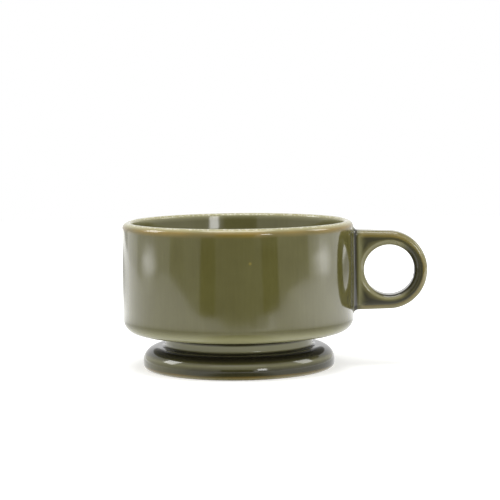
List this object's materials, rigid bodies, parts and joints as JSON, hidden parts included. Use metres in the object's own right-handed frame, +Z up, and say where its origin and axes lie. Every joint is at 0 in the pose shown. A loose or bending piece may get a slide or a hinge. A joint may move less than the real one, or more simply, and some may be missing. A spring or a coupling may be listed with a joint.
{
  "type": "footed soup mug",
  "caption": "Straight-sided wide soup mug on a waisted round foot, with a flat ring handle, in green glazed ceramic.",
  "frame": {"origin": "on the cup's axis, in the plane of the standing ring's flat face", "axes": "+Z up along the cup's axis, +X out through the middle of the handle, the handle's flat sides face +Y and -Y"},
  "size_m": [0.145, 0.11, 0.07],
  "materials": {
    "glaze": "gloss olive green glaze over pale clay, amber where it thins at the edges"
  },
  "bodies": {
    "root": {"mug": "glaze"}
  },
  "joints": []
}
